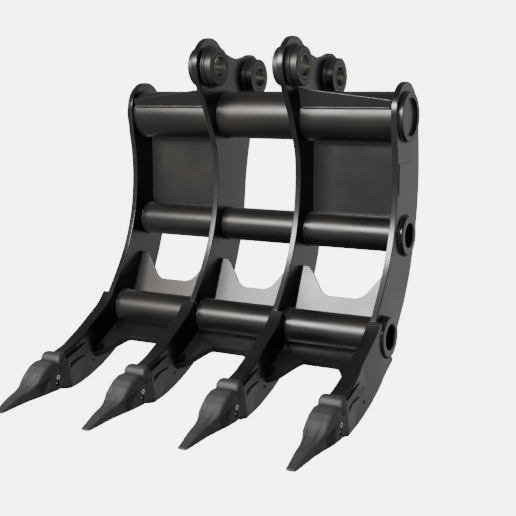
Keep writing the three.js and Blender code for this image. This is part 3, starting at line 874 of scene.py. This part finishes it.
# These outlines are pairs (y, z) about the tooth's tip.
CHEEK = [(352, 138), (385, 146), (420, 157), (480, 187), (514, 206), (600, 150)]
CHEEK += [(566, 118), (505, 98), (472, 34), (445, 12), (420, -2), (381, -8)]
SLOTS = [
    [(362, 119), (362, 131), (410, 147), (474, 159), (474, 154), (420, 135)],
    [(384, 76), (384, 95), (430, 103), (488, 105), (488, 100), (430, 92)],
]
PLUGS = [(534, 71), (522, 125)]


def make_cheek(out):
    """The adapter's cheek on one side of the shank, fading into it at its rear and its lower edge."""
    low, high = sorted((out * (SHANK_HALF - 1), out * 32.2))
    bm = prism_mesh([CHEEK] + SLOTS, side_plate, low, high, bevel=2.6, segments=4)
    for vert in bm.verts:
        x, y, z = vert.co / MM
        u = y * math.cos(NOSE_ANGLE) + z * math.sin(NOSE_ANGLE)
        v = -y * math.sin(NOSE_ANGLE) + z * math.cos(NOSE_ANGLE)
        lower = eased([(0, 1), (45, 0)], v)
        fade = max(lower * eased([(395, 0), (455, 1)], u), eased([(490, 0), (545, 1)], u))
        if abs(x) > SHANK_HALF:
            shift = (abs(x) - SHANK_HALF + 0.4) * 0.95 * fade
            vert.co.x -= math.copysign(shift, x) * MM
    return weigh_normals(make_object("cheek_shape", bm, 50))


def make_slot_shade(out):
    """A dark sheet at the bottom of the cheek's slots: painted shade, standing in for the shade of a deep
    slot.
    """
    face = out * SHANK_HALF
    bm = bmesh.new()
    for slot in SLOTS:
        low, high = sorted((face, face + out * 1.2))
        part = prism_mesh([slot], side_plate, low, high, bevel=0.2, segments=1)
        mesh = bpy.data.meshes.new("part")
        part.to_mesh(mesh)
        part.free()
        bm.from_mesh(mesh)
        bpy.data.meshes.remove(mesh)
    return make_object("slot_shade_shape", bm, 60)


def make_plug(out):
    """Two small plugs with rounded rims, in the shank's side behind the cheek."""
    bm = bmesh.new()
    face = out * (SHANK_HALF + 0.2)
    crown, root = face + out * 2.2, face - out
    profile = [(AXIS, face), (3.2, face), (4.5, crown), (6.2, crown), (7.8, root), (AXIS, root)]
    for at in PLUGS:
        turned_into(bm, at, profile, 24)
    return make_object("plug_shape", bm, 50)


def copy_to(source, name, x):
    """A copy of a tooth's shape, sharing its mesh, at one tooth."""
    obj = bpy.data.objects.new(name, source.data)
    bpy.context.scene.collection.objects.link(obj)
    obj.location = (x * MM, TIP[0] * MM, TIP[1] * MM)
    if source.modifiers:
        weigh_normals(obj)
    return obj


def add_tooth(tine):
    """The tooth point, its lock and its detent, and the adapter that holds them."""
    name, x = tine.name, tine.shank_x
    tooth = f"tooth_{name}"
    point = copy_to(point_shape, f"tooth_point_look_{name}", x)
    dress(point, CAST, tooth, f"tooth_point_{name}")
    lock = copy_to(lock_shape, f"tooth_lock_look_{name}", x)
    dress(lock, LOCK_STEEL, f"lock_{name}", f"tooth_lock_{name}")
    collar = copy_to(collar_shape, f"adapter_look_{name}", x)
    dress(collar, CAST, stands_for=f"adapter_{name}")
    detent = copy_to(detent_shape, f"tooth_detent_look_{name}", x)
    dress(detent, LOCK_STEEL, tooth)
    # The dark sheets in the cheek's slots are painted shade.
    for side, lining in slot_shades.items():
        dress(copy_to(lining, f"adapter_slot_earth_{name}_{side}", x), SLOT_SHADE)
    for side, cheek in cheeks.items():
        dress(copy_to(cheek, f"adapter_cheek_look_{name}_{side}", x), FRAME)
        dress(copy_to(plugs[side], f"adapter_plug_look_{name}_{side}", x), CAST)


point_shape = make_point()
lock_shape = make_lock()
detent_shape = make_detent()
collar_shape = make_collar()
slot_shades = {side: make_slot_shade(sign) for side, sign in SIDES}
cheeks = {side: make_cheek(sign) for side, sign in SIDES}
plugs = {side: make_plug(sign) for side, sign in SIDES}
for tine in TINES:
    add_tooth(tine)
side_shapes = (*slot_shades.values(), *cheeks.values(), *plugs.values())
for shape in (point_shape, lock_shape, detent_shape, collar_shape, *side_shapes):
    bpy.data.objects.remove(shape)

dress(make_object("weld_beads", beads, 60), WELD)

# ---------------------------------------------------------------- floor, surroundings, light and camera

FLOOR_Z = -1.262
WHITE = (1, 1, 1, 1)
CUT_OUT_GLOW = 6.0  # the background as the camera sees it
FLOOR_GRAZING_GLOW = 0.9  # painted reflection: the glow that the floor gives off at a grazing angle


def bright_to_camera(tree, bright, dim, out_socket):
    """The camera sees the bright shader and everything else the dim one, as with a cut-out background."""
    seen = add_node(tree, "ShaderNodeLightPath")
    choice = add_node(tree, "ShaderNodeMixShader")
    tree.links.new(seen.outputs["Is Camera Ray"], choice.inputs["Fac"])
    tree.links.new(dim, choice.inputs[1])
    tree.links.new(bright, choice.inputs[2])
    tree.links.new(choice.outputs["Shader"], out_socket)


def pale_floor():
    """A matt floor with a painted reflection: it glows at a grazing angle, standing in for a glossy
    floor's reflection of the bright surroundings.
    """
    mat = bpy.data.materials.new("pale_floor")
    mat.use_nodes = True
    tree = mat.node_tree
    matt = tree.nodes["Principled BSDF"]
    matt.inputs["Base Color"].default_value = (0.2, 0.2, 0.2, 1)
    matt.inputs["Roughness"].default_value = 0.8
    # Painted reflection: an emission that brightens the floor at a grazing angle.
    grazing_glow = add_node(tree, "ShaderNodeEmission", {"Strength": FLOOR_GRAZING_GLOW})
    slant = add_node(tree, "ShaderNodeLayerWeight", {"Blend": 0.5})
    mixed = add_node(tree, "ShaderNodeMixShader")
    tree.links.new(spread(tree, slant.outputs["Facing"], 0.55, 0.82), mixed.inputs["Fac"])
    tree.links.new(matt.outputs["BSDF"], mixed.inputs[1])
    tree.links.new(grazing_glow.outputs["Emission"], mixed.inputs[2])
    glow = add_node(tree, "ShaderNodeEmission", {"Strength": CUT_OUT_GLOW})
    surface = tree.nodes["Material Output"].inputs["Surface"]
    bright_to_camera(tree, glow.outputs["Emission"], mixed.outputs["Shader"], surface)
    return mat


def add_floor():
    bm = bmesh.new()
    bmesh.ops.create_circle(bm, cap_ends=True, segments=96, radius=2.6)
    floor = make_object("floor", bm)
    floor.location = (0, -0.3, FLOOR_Z)
    floor.data.materials.append(pale_floor())


def add_surroundings():
    """A studio that is brightest near the horizon and towards the right."""
    world = bpy.data.worlds.new("studio")
    world.use_nodes = True
    tree = world.node_tree
    around = tree.nodes["Background"]
    around.inputs["Color"].default_value = WHITE
    parts = add_node(tree, "ShaderNodeSeparateXYZ")
    tree.links.new(add_node(tree, "ShaderNodeTexCoord").outputs["Generated"], parts.inputs["Vector"])
    both = add_node(tree, "ShaderNodeMath")
    both.operation = "MULTIPLY"
    tree.links.new(spread(tree, parts.outputs["Z"], 0.05, 0.5, 1.0, 0.4), both.inputs[0])
    tree.links.new(spread(tree, parts.outputs["X"], 0.30, 0.52, 0.62, 1.0), both.inputs[1])
    tree.links.new(both.outputs["Value"], around.inputs["Strength"])
    behind = add_node(tree, "ShaderNodeBackground", {"Color": WHITE, "Strength": CUT_OUT_GLOW})
    surface = tree.nodes["World Output"].inputs["Surface"]
    bright_to_camera(tree, behind.outputs["Background"], around.outputs["Background"], surface)
    bpy.context.scene.world = world


def add_key_light():
    """One wide soft box, above and in front of the rake on its left."""
    light = bpy.data.lights.new("key", "AREA")
    light.shape = "RECTANGLE"
    light.size, light.size_y = 2.6, 1.1
    light.energy = 520
    light.color = (1.0, 0.95, 0.905)
    obj = bpy.data.objects.new("key", light)
    bpy.context.scene.collection.objects.link(obj)
    towards = Vector((-0.23, -0.84, 0.485)).normalized()
    obj.location = Vector((0, 0, -0.6)) + towards * 4.43
    obj.rotation_euler = (-towards).to_track_quat("-Z", "Y").to_euler()


def add_camera():
    camera = bpy.data.cameras.new("camera")
    camera.sensor_width = 36
    camera.lens = 68.993
    obj = bpy.data.objects.new("camera", camera)
    bpy.context.scene.collection.objects.link(obj)
    obj.location = (1.8614, -3.4221, -0.0981)
    obj.rotation_euler = (math.radians(80.475), 0, math.radians(28.07))
    bpy.context.scene.camera = obj


add_floor()
add_surroundings()
add_key_light()
add_camera()
